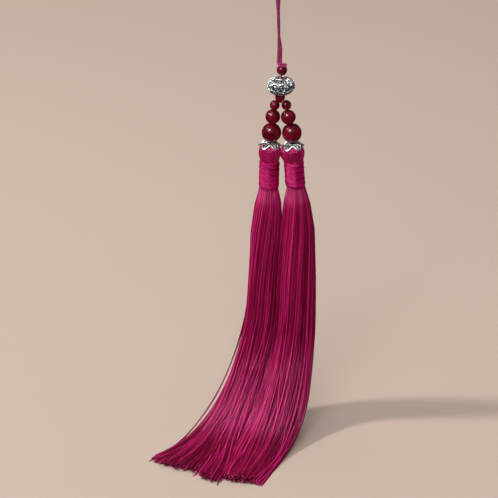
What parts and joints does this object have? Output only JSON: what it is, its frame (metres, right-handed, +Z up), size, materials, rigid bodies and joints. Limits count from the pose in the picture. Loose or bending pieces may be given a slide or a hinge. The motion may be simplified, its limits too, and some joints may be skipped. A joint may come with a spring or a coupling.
{
  "type": "silk tassel",
  "caption": "Double hanging tassel: two long silk skirts under bound necks, petal bead caps and strings of round stone beads, on a twisted cord loop.",
  "frame": {"origin": "the hang point, at the inside of the cord loop's top", "axes": "+X to the right, +Y to the back, +Z up along the hanging cord; the skirts bend forward, to -Y, and lie level at z = -0.208"},
  "size_m": [0.0678, 0.068, 0.2085],
  "materials": {
    "silk": "lustrous fuchsia silk strands",
    "wrapping": "fuchsia thread wound in close turns",
    "cord": "thin waxed fuchsia cord",
    "agate": "polished deep red stone",
    "silver": "antiqued silver alloy, dark in the recesses"
  },
  "bodies": {
    "root": {"hang_cord": "cord", "knot": "cord", "stem_thread": "cord", "leg_thread_left": "cord", "leg_thread_right": "cord", "top_bead": "agate", "lotus_bead": "silver", "centre_bead": "agate", "small_bead_left": "agate", "middle_bead_left": "agate", "large_bead_left": "agate", "small_bead_right": "agate", "middle_bead_right": "agate", "large_bead_right": "agate", "bead_cap_left": "silver", "bead_cap_right": "silver", "binding_left": "wrapping", "binding_right": "wrapping", "tassel_left": "silk", "tassel_right": "silk"}
  },
  "joints": []
}
